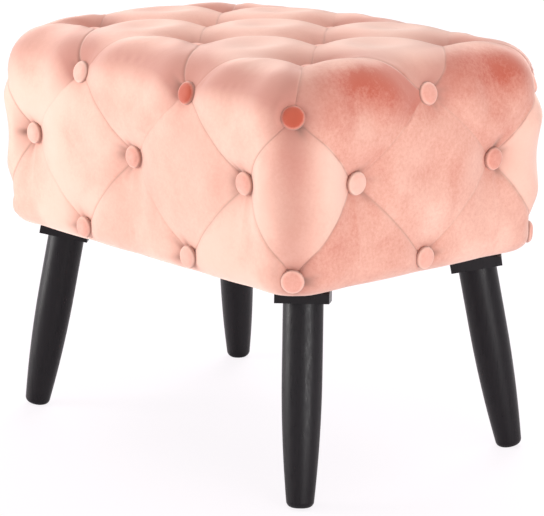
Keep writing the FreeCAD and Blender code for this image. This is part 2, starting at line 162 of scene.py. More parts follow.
class FootstoolFinish(bpy.types.PropertyGroup):
    """Colours of the finishes, some of which carry painted shade and painted sheen."""

    # Partly the pile's lean, partly painted shade: the crescents over the +X end and the deep buttons
    deep_nap_and_shade: colour("Nap brushed back", "Velvet where the pile leans away", "#C55B44")
    nap_mid: colour("Nap", "Velvet as it mostly lies", "#FCCAB7")
    # Partly the pile's lean, partly a painted sheen on top
    pale_nap_and_sheen: colour("Nap brushed forward", "Velvet where the pile leans towards the light", "#FCE4D5")
    # Painted shade in the dips, over the upper edges, down the front right corner and round the buttons
    dull: colour("Nap in the dips", "Velvet turning away over the edges and round the buttons", "#CC8D7F")
    # Painted shade down in the pleats and creases and under the buttons' rims
    fold: colour("Folds", "Velvet down in the pleats", "#B4877A")
    sheen: colour("Sheen", "Light caught by the tips of the pile", "#FFE6DC")
    button: colour("Button", "Velvet stretched over the buttons", "#F7B9A8")
    lacquer: colour("Lacquer", "Black lacquer on legs and plates", "#0E0B0E")
    ply_pale: colour("Plywood, pale", "Early wood of the plywood's face", "#D8B98A")
    ply_dark: colour("Plywood, dark", "Late wood of the plywood's face", "#B48E5C")
    foam: colour("Foam", "Open-cell foam", "#EFE6CC")
    dust_cloth: colour("Dust cloth", "Non-woven cloth under the seat", "#26252A")
    zinc: colour("Zinc", "Zinc plating on the fixings", "#B9B7B2")


class FootstoolStage(bpy.types.PropertyGroup):
    """Camera and lamps."""

    azimuth: number("Azimuth", "Camera's way round the seat", math.radians(49.459), subtype="ANGLE")
    elevation: number("Elevation", "Camera's height above the horizon", math.radians(13.706), subtype="ANGLE")
    distance: length("Distance", "From the camera to the point it looks at", 2321.5)
    aim_height: length("Aim height", "Height of the point that the camera looks at", 181.72)
    aim_right: length("Aim to the right", "That point's shift to the camera's right", 6.45)
    lens: number("Lens", "Focal length in millimetres", 146.34)
    key_power: number("Key lamp", "Power of the large lamp at the long side", 70.0, unit="POWER")
    top_power: number("Top lamp", "Power of the lamp over the seat", 16.0, unit="POWER")
    fill_power: number("Fill lamp", "Power of the lamp at the short side", 12.5, unit="POWER")
    back_power: number("Back lamp", "Power of the lamp behind, which shows up the pile", 62.0, unit="POWER")
    sky: number("Sky", "Strength of the light from all round", 0.42)


# Small tools for numbers, meshes and nodes


def mix(a, b, t):
    """Value at t on the way from a to b."""
    return a + (b - a) * t


def smooth(t):
    """Blend from 0 to 1 that starts and ends level."""
    return t * t * (3 - 2 * t)


def ramp(value, start, end):
    """Smooth blend, 0 up to start and 1 from end on."""
    return smooth(np.clip((value - start) / (end - start), 0, 1))


def unit(vector):
    """The vector's direction."""
    return vector / np.linalg.norm(vector)


def grid_faces(rows, columns):
    """Four-sided faces of a grid of points, row by row."""
    grid = np.arange((rows + 1) * (columns + 1)).reshape(rows + 1, columns + 1)
    return np.stack([grid[:-1, :-1], grid[1:, :-1], grid[1:, 1:], grid[:-1, 1:]], -1).reshape(-1, 4)


def point_values(mesh, name, values):
    """Stores one number, or one direction, at each point of a mesh."""
    values = np.asarray(values, np.float32)
    kind, field = ("FLOAT", "value") if values.ndim == 1 else ("FLOAT_VECTOR", "vector")
    attribute = mesh.attributes.get(name) or mesh.attributes.new(name, kind, "POINT")
    attribute.data.foreach_set(field, values.ravel())


def read_values(mesh, name):
    """What point_values stored."""
    attribute = mesh.attributes[name]
    width, field = (1, "value") if attribute.data_type == "FLOAT" else (3, "vector")
    values = np.zeros(len(mesh.vertices) * width, np.float32)
    attribute.data.foreach_get(field, values)
    return values.astype(float) if width == 1 else values.reshape(-1, 3).astype(float)


def coordinates(mesh):
    """Places of a mesh's points."""
    values = np.zeros(len(mesh.vertices) * 3, np.float32)
    mesh.vertices.foreach_get("co", values)
    return values.reshape(-1, 3).astype(float)


def set_coordinates(mesh, points):
    """Moves a mesh's points."""
    mesh.vertices.foreach_set("co", np.asarray(points, np.float32).ravel())
    mesh.update()


@contextmanager
def edited(mesh):
    """Opens a mesh for editing, then writes it back."""
    work = bmesh.new()
    work.from_mesh(mesh)
    yield work
    work.to_mesh(mesh)
    work.free()


def linked(name, data):
    """New object in the scene's collection."""
    piece = bpy.data.objects.new(name, data)
    bpy.context.scene.collection.objects.link(piece)
    return piece


def baked(source, name):
    """Plain mesh of an object with its modifiers on it; the object goes."""
    graph = bpy.context.evaluated_depsgraph_get()
    mesh = bpy.data.meshes.new_from_object(source.evaluated_get(graph), preserve_all_data_layers=True,
                                           depsgraph=graph)
    mesh.name = name
    source.modifiers.clear()
    bpy.data.objects.remove(source)
    return mesh


def only_material(mesh, made):
    """Gives a mesh one material in place of any others."""
    mesh.materials.clear()
    mesh.materials.append(made)


def feed(tree, node, inputs):
    """Sets a node's inputs to constants, other nodes' outputs, or other nodes for their first outputs."""
    for name, value in inputs.items():
        if isinstance(value, bpy.types.Node):
            value = value.outputs[0]
        if isinstance(value, bpy.types.NodeSocket):
            tree.links.new(value, node.inputs[name])
        else:
            node.inputs[name].default_value = value


def add(tree, kind, inputs=None, **settings):
    """Adds one node with its settings and inputs."""
    node = tree.nodes.new(kind)
    for name, value in settings.items():
        setattr(node, name, value)
    feed(tree, node, inputs or {})
    return node


# Tufted cloth


def rings(seat):
    """Heights of the upper, middle and lower rings of buttons."""
    upper = seat.top - seat.upper_drop
    lower = seat.underside + seat.lower_rise
    return upper, (upper + lower) / 2 + seat.middle_lift, lower


def turned_under(seat, p):
    """Sine of the angle that the cloth has turned under: 0 on the sides, 1 at the hem."""
    return np.clip((seat.underside + seat.hem_round - p[:, 2]) / seat.hem_round, 0, 1)


def block(seat, p):
    """Points of the untufted padded block next to points p, and the ways out of the padding there."""
    upper, _, lower = rings(seat)
    half = np.array([seat.length, seat.width]) / 2
    lean = seat.side_lean * np.maximum(0, (upper - p[:, 2]) / (upper - lower))
    limit = half - lean[:, None] - seat.edge_round
    reach = (p[:, :2] / half) ** 2
    top = seat.top - seat.top_crown * reach.sum(1) / 2 - seat.corner_fall * reach.prod(1)
    core = np.column_stack([np.clip(p[:, :2], -limit, limit), np.minimum(p[:, 2], top - seat.edge_round)])
    outwards = p - core
    outwards /= np.linalg.norm(outwards, axis=1)[:, None]
    inset = seat.hem_round * (1 - np.sqrt(1 - turned_under(seat, p) ** 2))
    return core + outwards * (seat.edge_round - inset)[:, None], outwards


def at_corner(i, j):
    """Whether a place of the tufting lattice is at a corner of the seat."""
    return abs(i) == END and abs(j) == SIDE


class Tuft:
    """A point of the tufting lattice; i and j count half pitches from the middle of the seat."""

    def __init__(self, seat, level, i, j):
        upper, middle, lower = rings(seat)
        height = {"top": seat.top, "upper": upper, "middle": middle, "lower": lower, "hem": seat.underside}
        depth = {"top": seat.top_tuft, "upper": seat.edge_tuft, "middle": seat.side_tuft,
                 "lower": seat.hem_tuft, "hem": 0.0}
        corner = at_corner(i, j)
        corner_inset = seat.edge_round * (1 - math.sqrt(0.5)) if corner else 0.0
        x, y, z = i * seat.column_pitch / 2, j * seat.row_pitch / 2, height[level]
        if abs(i) == END:
            x = math.copysign(seat.length / 2 - corner_inset, i)
        if level != "top" and abs(j) == SIDE:
            y = math.copysign(seat.width / 2 - corner_inset, j)
        self.place, self.level, self.depth = (level, i, j), level, depth[level]
        if corner and level in ("upper", "lower"):
            self.depth = seat.corner_tuft
        if corner and level == "upper":
            z -= seat.corner_drop
        if level == "hem" and (i + j) % 2:
            self.depth = seat.hem_fold
        crown, outwards = block(seat, np.array([[x, y, z]]))
        self.crown, self.outwards = crown[0], outwards[0]
        self.seat = self.crown - self.outwards * self.depth
        self.facing = unit(self.outwards - np.array([0, 0, turned_under(seat, crown)[0] / 2]))


def perimeter():
    """Half-pitch counts of the 20 stations round the seat; buttons at even ones, middle ring at odd."""
    front = [(i, -SIDE) for i in range(-END, END)]
    right = [(END, j) for j in range(-SIDE, SIDE)]
    back = [(i, SIDE) for i in range(END, -END, -1)]
    left = [(-END, j) for j in range(SIDE, -SIDE, -1)]
    return front + right + back + left


def inside():
    """Half-pitch counts of the places on top that lie within the perimeter."""
    return [(i, j) for i in range(1 - END, END) for j in range(1 - SIDE, SIDE)]


def lattice(seat):
    """All tufts by level and place, with the hem points under the sides."""
    tufts = {}
    for step, (i, j) in enumerate(perimeter()):
        for level in ("middle",) if step % 2 else ("upper", "lower"):
            tufts[level, i, j] = Tuft(seat, level, i, j)
        tufts["hem", i, j] = Tuft(seat, "hem", i, j)
    for i, j in inside():
        if (i + j) % 2:
            tufts["top", i, j] = Tuft(seat, "top", i, j)
    return tufts


def panel_corners(tufts):
    """The four tufts of each panel, taken round, and whether it is a half panel that ends at the hem."""
    def on_top(i, j):
        return tufts.get(("top", i, j)) or tufts["upper", i, j]

    panels = []
    for i, j in inside():
        if (i + j) % 2 == 0:
            left, right = on_top(i - 1, j), on_top(i + 1, j)
            panels.append((left, on_top(i, j - 1), right, on_top(i, j + 1), False))
    stations = perimeter()
    for step, here in enumerate(stations):
        before, after = stations[step - 1], stations[(step + 1) % len(stations)]
        if step % 2:
            inward = (max(1 - END, min(END - 1, here[0])), max(1 - SIDE, min(SIDE - 1, here[1])))
            middle = tufts[("middle",) + here]
            left, right = tufts[("upper",) + before], tufts[("upper",) + after]
            panels.append((left, middle, right, tufts[("top",) + inward], False))
            for side in (before, after):
                lower, hem = tufts[("lower",) + side], tufts[("hem",) + side]
                panels.append((lower, middle, tufts[("hem",) + here], hem, True))
        else:
            left, right = tufts[("middle",) + before], tufts[("middle",) + after]
            panels.append((left, tufts[("lower",) + here], right, tufts[("upper",) + here], False))
    return panels


def along_rim(seat, a, b, t):
    """Depth at t from tuft a to tuft b: level at both, and on a pleat shallowest half way."""
    if b.level == "hem":
        return mix(a.depth, b.depth, smooth(t))
    levels = {a.level, b.level}
    between = seat.side_pleat
    if "top" in levels:
        between = seat.top_pleat if levels == {"top"} else seat.edge_pleat
    near_button = ((1 + np.cos(2 * math.pi * t)) / 2) ** seat.dip_narrowness
    return mix(between, mix(a.depth, b.depth, t), near_button)


def line_strength(a, b):
    """How clearly a pleat shows as a line, in its groove and its painted shade: most on the side to which the
    cloth is drawn, which on the sides is also the side away from the light.
    """
    levels = {a.level, b.level}
    if "hem" in levels:
        return LINES["hem"]
    if levels == {"top"}:
        return LINES["top"]
    ring, inner = (a, b) if a.level in ("upper", "lower") else (b, a)
    _, i, j = ring.place
    _, k, m = inner.place
    if at_corner(i, j):
        return LINES["corner"]
    if inner.level == "top":
        return LINES["end edge" if abs(i) == END else "drawn edge" if k < i else "slack edge"]
    drawn = k > i if abs(m) == SIDE else ring.level == "lower" and j > m
    return LINES["drawn side" if drawn else "slack side"]


def bow(seat, a, b, t):
    """Shift along X of a drawn pleat over a long upper edge, which so runs straight up from its button."""
    upper, top = (a, b) if a.level == "upper" else (b, a)
    _, i, j = upper.place
    over_edge = (upper.level, top.level) == ("upper", "top") and abs(i) < END and abs(j) == SIDE
    return seat.edge_bow * np.sin(math.pi * t) if over_edge and top.place[1] < i else 0.0


def graded(steps):
    """Steps from 0 to 1, closer together at both ends, where the pleats are."""
    t = np.linspace(0, 1, steps + 1)
    return t - 0.6 * np.sin(2 * math.pi * t) / (2 * math.pi)


def panel(seat, a, b, c, d, half):
    """Grid of one panel before it is filled: its points, its faces and what is stored at each point.

    Stored are the way out, the distance to the nearest pleat (rim), how clearly that shows (line), the room
    for filling, and the painted shade of the dip along pleats over the upper edge.
    """
    rows, columns = seat.rows, seat.hem_rows if half else seat.rows
    u, v = (g.ravel() for g in np.meshgrid(graded(rows), graded(columns), indexing="ij"))
    su, sv = smooth(u), smooth(v)
    chord = mix(mix(a.crown, b.crown, u[:, None]), mix(d.crown, c.crown, u[:, None]), v[:, None])
    chord[:, 0] += mix(bow(seat, a, b, u), bow(seat, d, c, u), sv)
    chord[:, 0] += mix(bow(seat, a, d, v), bow(seat, b, c, v), su)
    crown, outwards = block(seat, chord)
    depth = mix(along_rim(seat, a, b, u), along_rim(seat, d, c, u), sv)
    depth += mix(along_rim(seat, a, d, v), along_rim(seat, b, c, v), su)
    depth -= mix(mix(a.depth, b.depth, su), mix(d.depth, c.depth, su), sv)
    rise = math.pi * (0.5 if half else 1.0)
    fullness = seat.top_fullness if "top" in {t.level for t in (a, b, c, d)} else seat.side_fullness
    swell = np.clip(np.sin(rise * u) * np.sin(rise * v), 0, 1) ** fullness
    along, across = np.linalg.norm(b.seat - a.seat), np.linalg.norm(d.seat - a.seat)
    edges = [(a, b, v * across), (d, a, u * along)]
    if not half:
        edges += [(b, c, (1 - u) * along), (c, d, (1 - v) * across)]
    away = np.array([distance for _, _, distance in edges])
    strengths = np.array([line_strength(start, end) for start, end, _ in edges])
    over_edge = np.array([{start.level, end.level} == {"top", "upper"} for start, end, _ in edges])
    # Painted shade in the wide, shallow valley along the pleats over the upper edge
    pleat_dip_shade = np.exp(-(away / seat.dip_shade_reach) ** 2) * (strengths * over_edge)[:, None]
    points = crown - outwards * (depth * (1 - swell) + seat.slack * swell)[:, None]
    return points, grid_faces(rows, columns), {
        "outwards": outwards, "rim": away.min(0), "line": strengths[away.argmin(0)], "dip": pleat_dip_shade.max(0),
        "room": np.prod(1 - np.exp(-away / seat.fill_reach), axis=0)}


def on_end(outwards):
    """Whether a panel lies on the +X end of the seat, not round its corner."""
    x, y, _ = outwards.mean(0)
    return x > 0.3 and abs(y) < 0.4


def pile_tone_with_painted_light(seat, corners, points, outwards):
    """Tone of a panel's pile, which runs towards +X, with painted light in it, and a painted shade.
    The tone is partly the pile's lean and partly painted shade where the cloth turns from the lamps, deepest
    down over the +X end, with a painted sheen on top.
    """
    levels = {t.level for t in corners}
    upper, _, lower = rings(seat)
    along, across, height = points.T
    x, y, z = outwards.T
    level = ramp(z, 0.8, 1.0)
    if {"top", "middle"} <= levels and x.mean() > 0.3:
        # Two crescents of painted shade, partly the pile's lean, where the +X end's upper edge turns from the
        # lamps; the front one hangs lower beside the middle button
        hang = 0.3 * np.where(across < 0, np.clip(across + 90 * MM, 0, 90 * MM), 0)
        turned_down = ramp(height + hang, upper - 30 * MM, upper + 26 * MM)
        past_corner = ramp(across + seat.width / 2, 18 * MM, 78 * MM)
        deepest = np.where(across < 0, 0.75, 0.45)
        tone = -0.22 - (0.2 + deepest * turned_down) * past_corner
        return tone * (1 - 0.8 * level), 0.1 * turned_down * (1 - past_corner)
    # Painted shade where the cloth rolls over the upper edges, turned from the low lamps, most towards +X but
    # little on that end itself
    over_edge = np.exp(-((z - 0.68) / 0.34) ** 2) * (1 - 0.75 * np.clip(2 * x, 0, 1))
    over_edge *= np.clip(1 + 1.5 * along / seat.length, 0.5, 1.2)
    up = np.clip((height - lower) / (upper - lower), 0, 1)
    # Painted shade down the front right corner too, most at its top
    corner_shade = np.exp(-((np.abs(x) - np.abs(y)) / 0.7) ** 2) * (1 - np.abs(z)) * (x > 0) * (y < 0)
    corner_shade *= 0.55 + 0.65 * smooth(up)
    # Painted shade over the +X end, which the lamps light less, partly the pile's lean there; more on its
    # lower half panels
    end = 0.0
    if on_end(outwards):
        end = (0.2 + 0.8 * np.clip(x, 0, 1) * up) * (1.8 if "hem" in levels else 1.0)
    # Painted sheen on top, the more so towards +X
    forward = level * (0.2 + 2.1 * along / seat.length)
    tone = 0.7 * forward - 0.12 * over_edge - 0.45 * corner_shade - 0.45 * end
    return tone, over_edge + 0.6 * corner_shade


def tufted_sheet(seat, tufts):
    """The cover's outer cloth as one welded sheet, with what its panels store and the tones of its pile, with
    their painted light and painted shade.
    """
    random = np.random.default_rng(SEED)
    varied, dip_shade_strength = 0.08, 0.9
    points, faces, stored, start = [], [], {}, 0
    for corners in panel_corners(tufts):
        places, quads, values = panel(seat, *corners)
        tone, painted_shade = pile_tone_with_painted_light(seat, corners[:4], places, values["outwards"])
        values["pile_tone_and_painted_light"] = tone + random.uniform(-varied, varied)
        values["painted_shade"] = painted_shade + dip_shade_strength * values.pop("dip")
        values["ruffle"] = np.full(len(places), RUFFLE_ON_END if on_end(values["outwards"]) else RUFFLE)
        for name, value in values.items():
            stored.setdefault(name, []).append(value)
        points.append(places)
        faces.append(quads + start)
        start += len(places)
    mesh = bpy.data.meshes.new("tufted_sheet")
    mesh.from_pydata(np.concatenate(points), [], np.concatenate(faces).tolist())
    for name, values in stored.items():
        point_values(mesh, name, np.concatenate(values))
    with edited(mesh) as work:
        bmesh.ops.remove_doubles(work, verts=work.verts, dist=SHEET_WELD)
        bmesh.ops.recalc_face_normals(work, faces=work.faces)
    return mesh


def pressed_out(seat, mesh, tufts):
    """How far the pressure of the wadding moves each point of the cloth, by a simulation of cloth."""
    before = coordinates(mesh)
    near = np.min([np.linalg.norm(before - t.seat, axis=1) for t in tufts.values()], axis=0)
    at_hem = before[:, 2] < seat.underside + 0.5 * MM
    held = (read_values(mesh, "rim") < ON_PLEAT) | (near < HELD_BY_BUTTON) | at_hem
    source = linked("tufted_sheet", mesh)
    source.vertex_groups.new(name="pleats").add(np.flatnonzero(held).tolist(), 1.0, "REPLACE")
    cloth = source.modifiers.new("filling", "CLOTH")
    for name, value in CLOTH_SETTINGS.items():
        setattr(cloth.settings, name, value)
    cloth.settings.effector_weights.gravity = 0
    cloth.collision_settings.use_collision = False
    cloth.point_cache.frame_start, cloth.point_cache.frame_end = 1, FILLING_STEPS
    scene = bpy.context.scene
    for step in range(1, FILLING_STEPS + 1):
        scene.frame_set(step)
    after = coordinates(source.evaluated_get(bpy.context.evaluated_depsgraph_get()).data)
    source.modifiers.clear()
    scene.frame_set(1)
    source.vertex_groups.clear()
    bpy.data.objects.remove(source)
    return after - before


def filled(seat, mesh, tufts):
    ways = read_values(mesh, "outwards")
    lift = mix(seat.side_fill, seat.top_fill, np.clip(ways[:, 2], 0, 1)) * read_values(mesh, "room")
    lift = np.clip((pressed_out(seat, mesh, tufts) * ways).sum(1), 0, lift)
    set_coordinates(mesh, coordinates(mesh) + ways * lift[:, None])


def refined(mesh):
    """One subdivision, with the pleats kept sharp."""
    ends = np.zeros(len(mesh.edges) * 2, np.int32)
    mesh.edges.foreach_get("vertices", ends)
    on_pleat = (read_values(mesh, "rim")[ends.reshape(-1, 2)] < ON_PLEAT).all(1)
    crease = mesh.attributes.new("crease_edge", "FLOAT", "EDGE")
    crease.data.foreach_set("value", np.where(on_pleat, PLEAT_SHARPNESS, 0.0).astype(np.float32))
    source = linked("tufted_sheet", mesh)
    finer = source.modifiers.new("finer", "SUBSURF")
    finer.levels = finer.render_levels = 1
    return baked(source, "velvet_cover")


def button_creases(seat, tufts, points):
    """Depth of the short creases that run out from the buttons, and the painted shade in the dip round each
    button, heavier on the side away from the light.
    """
    random = np.random.default_rng(SEED + 1)
    around, rim, deepest = 60 * MM, 9 * MM, 1.2
    depth, near = np.zeros(len(points)), np.zeros(len(points))
    for tuft in tufts.values():
        if tuft.level == "hem":
            continue
        side = unit(np.cross(tuft.facing, [0, 0, 1] if abs(tuft.facing[2]) < 0.9 else [1, 0, 0]))
        up = np.cross(side, tuft.facing)
        apart = points - tuft.seat
        reach = np.linalg.norm(apart, axis=1)
        close = np.flatnonzero(reach < around)
        x, y = apart[close] @ side, apart[close] @ up
        angle, out = np.arctan2(y, x), np.hypot(x, y)
        drawn = math.pi if tuft.facing[0] > 0.5 else 0.0
        fall = 20 * MM if tuft.level == "top" else 9 * MM
        # Painted shade in the dip round the button, heavier on the side away from the light
        dull = np.exp(-np.maximum(0, reach[close] - 10 * MM) / fall) * (0.6 + 0.4 * np.cos(angle - drawn))
        near[close] = np.maximum(near[close], dull)
        for _ in range(CREASES_PER_BUTTON):
            heading = drawn + random.uniform(-CREASE_SPREAD, CREASE_SPREAD)
            run = random.uniform(*CREASE_RUN) * MM
            strength = random.uniform(0.3, 1.0)
            turn = (angle - heading + math.pi) % (2 * math.pi) - math.pi
            aside = out * np.sin(np.clip(turn, -math.pi / 2, math.pi / 2))
            width = mix(1.2 * MM, 3.2 * MM, np.clip(out / run, 0, 1))
            fade = np.clip(1 - (out - rim) / run, 0, 1) ** 1.5 * (np.abs(turn) < math.pi / 2)
            depth[close] += strength * fade * np.exp(-(aside / width) ** 2)
    return np.minimum(depth, deepest) * seat.crease_depth, near


def pressed_under_buttons(seat, points):
    """Keeps the cloth under its buttons: level behind each, then rising away from its rim."""
    behind, rim, rise, around, deep = 1.2 * MM, 11 * MM, 0.9, 24 * MM, 30 * MM
    for level in BUTTON_NODES:
        for back, facing, _ in button_backs(seat, level):
            apart = points - back
            height = apart @ facing
            out = np.linalg.norm(apart - np.outer(height, facing), axis=1)
            close = np.flatnonzero((out < around) & (np.abs(height) < deep))
            most = behind + np.maximum(0, out[close] - rim) * rise
            points[close] -= np.outer(np.maximum(0, height[close] - most), facing)
    return points


def close_under(seat, mesh):
    """Turns the hem into the base board's rebate and lines the frame's space, so the cover is closed."""
    board, cloth, foam_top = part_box("base_board")[1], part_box("dust_cover")[1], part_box("top_foam")[1].z
    clear, lap, hem_thickness, frame_round = 0.05 * MM, 10 * MM, 2 * MM, 22 * MM
    hem = (cloth.x - lap + clear, cloth.y - lap + clear, 1 * MM)
    lining = (board.x + clear, board.y + clear, frame_round)
    hem_high = seat.underside + hem_thickness - clear
    outlines = (*hem, seat.underside), (*hem, hem_high), (*lining, hem_high), (*lining, foam_top + clear)
    with edited(mesh) as work:
        edges = [e for e in work.edges if e.is_boundary]
        start = {p: p.co.to_2d() for e in edges for p in e.verts}
        for half_x, half_y, radius, z in outlines:
            made = bmesh.ops.extrude_edge_only(work, edges=edges)["geom"]
            edges = [e for e in made if isinstance(e, bmesh.types.BMEdge) and e.is_boundary]
            ring = {p for e in edges for p in e.verts}
            limit = half_x - radius, half_y - radius
            for point in ring:
                before = next(p for p in (e.other_vert(point) for e in point.link_edges) if p not in ring)
                start[point] = start[before]
                core = Vector([max(-most, min(most, at)) for at, most in zip(start[point], limit)])
                place = core + (start[point] - core).normalized() * radius
                point.co = (*place, z)
        bmesh.ops.triangulate(work, faces=bmesh.ops.contextual_create(work, geom=edges)["faces"])
        bmesh.ops.recalc_face_normals(work, faces=work.faces)


def velvet_cover(seat, finish):
    """The cover: cloth drawn down by its buttons, filled, pleated, creased and closed under the seat, with
    painted shade in its pleats, creases and dips.
    """
    fold_shade_width, crease_shade, button_shade = 0.8 * MM, 0.9, 0.8
    tufts = lattice(seat)
    sheet = tufted_sheet(seat, tufts)
    filled(seat, sheet, tufts)
    mesh = refined(sheet)
    points = coordinates(mesh)
    ways, rim, line, painted_shade = (read_values(mesh, name) for name in ("outwards", "rim", "line", "painted_shade"))
    ways /= np.linalg.norm(ways, axis=1)[:, None]
    pleat = np.sqrt(line) * np.exp(-(rim / seat.groove_width) ** 2)
    creases, near = button_creases(seat, tufts, points)
    points -= ways * (seat.groove_depth * pleat + creases)[:, None]
    set_coordinates(mesh, pressed_under_buttons(seat, points))
    # Painted shade down in the pleats and the creases
    fold = line * np.exp(-rim / fold_shade_width) + crease_shade * creases / seat.crease_depth
    point_values(mesh, "fold", np.clip(fold, 0, 1))
    # Painted shade in the dips, over the edges and round the buttons
    point_values(mesh, "painted_shade", np.clip(painted_shade + button_shade * near, 0, 1))
    for name in ("outwards", "rim", "line", "room"):
        mesh.attributes.remove(mesh.attributes[name])
    close_under(seat, mesh)
    mesh.shade_smooth()
    mesh.set_sharp_from_angle(angle=math.radians(60))
    only_material(mesh, velvet(finish))
    return linked("velvet_cover_cloth", mesh)


# Buttons and other repeated pieces


def revolved(name, profile, segments):
    """Closed mesh of an outline of (radius, height) turned about Z; both its ends are on the axis."""
    mesh = bpy.data.meshes.new(name)
    with edited(mesh) as work:
        loops = []
        for r, z in profile:
            turns = [2 * math.pi * k / segments for k in range(segments if r else 1)]
            loops.append([work.verts.new((r * math.cos(t), r * math.sin(t), z)) for t in turns])
        for low, high in zip(loops, loops[1:]):
            for k in range(segments):
                n = (k + 1) % segments
                ring = [low[k % len(low)], low[n % len(low)], high[n % len(high)], high[k % len(high)]]
                work.faces.new(list(dict.fromkeys(ring)))
        bmesh.ops.recalc_face_normals(work, faces=work.faces)
    mesh.shade_smooth()
    return mesh


def button_pattern():
    """Domed button with its cloth drawn round the rim in small gathers, painted shade under the rim and a
    ring of painted sheen.
    """
    radius, height, skirt, segments, gather = BUTTON_RADIUS, BUTTON_HEIGHT, 0.9 * MM, 48, 0.12 * MM
    dome = [(radius * r, skirt + (height - skirt) * (1 - r ** 3.4) ** 0.62) for r in
            (1.0, 0.995, 0.98, 0.955, 0.92, 0.87, 0.8, 0.7, 0.58, 0.44, 0.3, 0.15)]
    back = [(0, 0), (radius - 1.2 * MM, 0), (radius - 0.3 * MM, 0.3 * MM)]
    mesh = revolved("button", back + dome + [(0, height)], segments)
    points = coordinates(mesh)
    out = np.hypot(points[:, 0], points[:, 1])
    share = out / radius
    waves = np.cos(segments / 3 * np.arctan2(points[:, 1], points[:, 0])) * np.clip(share, 0, 1) ** 12
    points[:, :2] *= (1 + np.where(out > 0, gather * (waves - 1) / np.maximum(out, MM), 0))[:, None]
    set_coordinates(mesh, points)
    # Painted shade where the cloth turns under the rim
    point_values(mesh, "fold", ramp(share, 0.9, 1.0))
    point_values(mesh, "ruffle", np.full(len(out), 0.6))
    # Painted sheen: a paler ring where the dome rounds over towards its rim
    point_values(mesh, "rim_painted_sheen", 0.5 * ramp(share, 0.74, 0.92))
    return mesh


def islands(node):
    """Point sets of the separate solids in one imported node."""
    work = bmesh.new()
    work.from_mesh(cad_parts[node].data)
    bmesh.ops.remove_doubles(work, verts=work.verts, dist=SOLID_WELD)
    seen, groups = set(), []
    for first in work.verts:
        if first in seen:
            continue
        group, todo = [], [first]
        seen.add(first)
        while todo:
            vert = todo.pop()
            group.append(vert.co.copy())
            for edge in vert.link_edges:
                other = edge.other_vert(vert)
                if other not in seen:
                    seen.add(other)
                    todo.append(other)
        groups.append(np.array(group))
    work.free()
    return groups


def button_backs(seat, level):
    """For each packed button of a ring: where its back goes, sunk in the cloth, its way out and its tone,
    which is partly painted light.
    """
    random = np.random.default_rng(SEED + list(BUTTON_NODES).index(level))
    tufts = [t for t in lattice(seat).values() if t.level == level]
    sunk = 1.0 * MM
    places = []
    for points in islands(BUTTON_NODES[level]):
        tuft = min(tufts, key=lambda t: np.linalg.norm(t.seat - points.mean(0)))
        back = ((points - tuft.seat) @ tuft.facing).min()
        tone = BUTTON_TONES.get(tuft.place, random.uniform(-0.35, 0.15))
        places.append((tuft.seat + tuft.facing * (back - sunk), tuft.facing, tone))
    return places


def pattern_tree(name, **more):
    """Geometry tree that will set a pattern on points, with more inputs by name and kind; and its input."""
    tree = bpy.data.node_groups.new(name, "GeometryNodeTree")
    sockets = {"Geometry": "Geometry", "Pattern": "Object", "Finish": "Material", "Seed": "Int", **more}
    for label, kind in sockets.items():
        tree.interface.new_socket(label, in_out="INPUT", socket_type="NodeSocket" + kind)
    tree.interface.new_socket("Geometry", in_out="OUTPUT", socket_type="NodeSocketGeometry")
    return tree, add(tree, "NodeGroupInput")


def end_tree(tree, given, points, aligned, low, high):
    """Ends a pattern tree: a pattern on each point, turned about Z by a random angle from low to high."""
    spread = {0: (0, 0, low), 1: (0, 0, high), "Seed": given.outputs["Seed"]}
    angle = add(tree, "FunctionNodeRandomValue", spread, data_type="FLOAT_VECTOR")
    turn = add(tree, "FunctionNodeEulerToRotation", {"Euler": angle})
    turned = add(tree, "FunctionNodeRotateRotation", {"Rotation": aligned, "Rotate By": turn},
                 rotation_space="LOCAL")
    pattern = add(tree, "GeometryNodeObjectInfo", {"Object": given.outputs["Pattern"]})
    set_on = add(tree, "GeometryNodeInstanceOnPoints", {
        "Points": points, "Instance": pattern.outputs["Geometry"], "Rotation": turned})
    whole = add(tree, "GeometryNodeRealizeInstances", {"Geometry": set_on})
    dressed = add(tree, "GeometryNodeSetMaterial", {"Geometry": whole, "Material": given.outputs["Finish"]})
    add(tree, "NodeGroupOutput", {"Geometry": dressed})
    return tree


def grown(name, base, tree, values):
    """Plain mesh that a geometry tree grows from a base mesh, with the tree's inputs set by identifier."""
    source = linked(name, base)
    modifier = source.modifiers.new(name, "NODES")
    modifier.node_group = tree
    for item in tree.interface.items_tree:
        if item.in_out == "INPUT" and item.name in values:
            modifier[item.identifier] = values[item.name]
    bpy.context.view_layer.update()
    return baked(source, name)


def button_tree():
    """Sets a button on every point, facing out and turned at random; it keeps the point's tone."""
    tree, given = pattern_tree("covered_buttons")
    facing = add(tree, "GeometryNodeInputNamedAttribute", {"Name": "facing"}, data_type="FLOAT_VECTOR")
    aligned = add(tree, "FunctionNodeAlignRotationToVector", {"Vector": facing}, axis="Z")
    return end_tree(tree, given, given.outputs["Geometry"], aligned, 0, 2 * math.pi)


def covered_buttons(seat, level, tree, pattern, cloth):
    """One ring of covered buttons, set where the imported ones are."""
    backs, facings, tones = zip(*button_backs(seat, level))
    base = bpy.data.meshes.new("button_places")
    base.from_pydata([tuple(back) for back in backs], [], [])
    point_values(base, "facing", np.array(facings))
    point_values(base, "pile_tone_and_painted_light", tones)
    mesh = grown("button_places", base, tree, {"Pattern": pattern, "Finish": cloth, "Seed": SEED})
    return linked(BUTTON_NODES[level] + "_covered", mesh)


